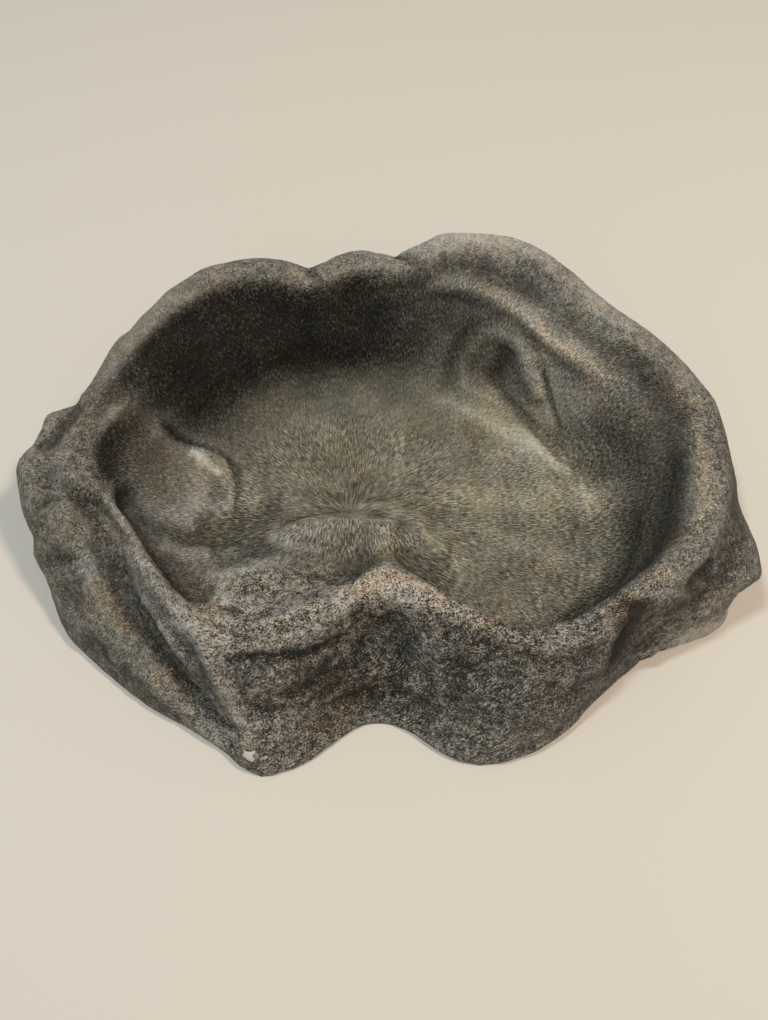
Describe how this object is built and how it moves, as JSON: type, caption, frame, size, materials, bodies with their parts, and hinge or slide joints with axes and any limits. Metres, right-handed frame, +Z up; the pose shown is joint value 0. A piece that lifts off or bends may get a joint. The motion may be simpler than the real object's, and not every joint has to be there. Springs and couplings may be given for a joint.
{
  "type": "shallow dish",
  "caption": "Wide shallow free-form dish in stone-look cast resin, with an irregular rim, a stepped basin and a flat underside.",
  "frame": {"origin": "middle of the underside, on the surface that the dish stands on", "axes": "+X along the dish's length to the right, +Y to the back, +Z up; the front notch faces -Y"},
  "size_m": [0.27, 0.207, 0.056],
  "materials": {
    "casting": "matte, pale mineral-filled casting resin",
    "coat": "satin, dark grey-brown stone look with pale worn crests"
  },
  "bodies": {
    "root": {"cast_core": "casting", "stone_coat": "coat"}
  },
  "joints": []
}
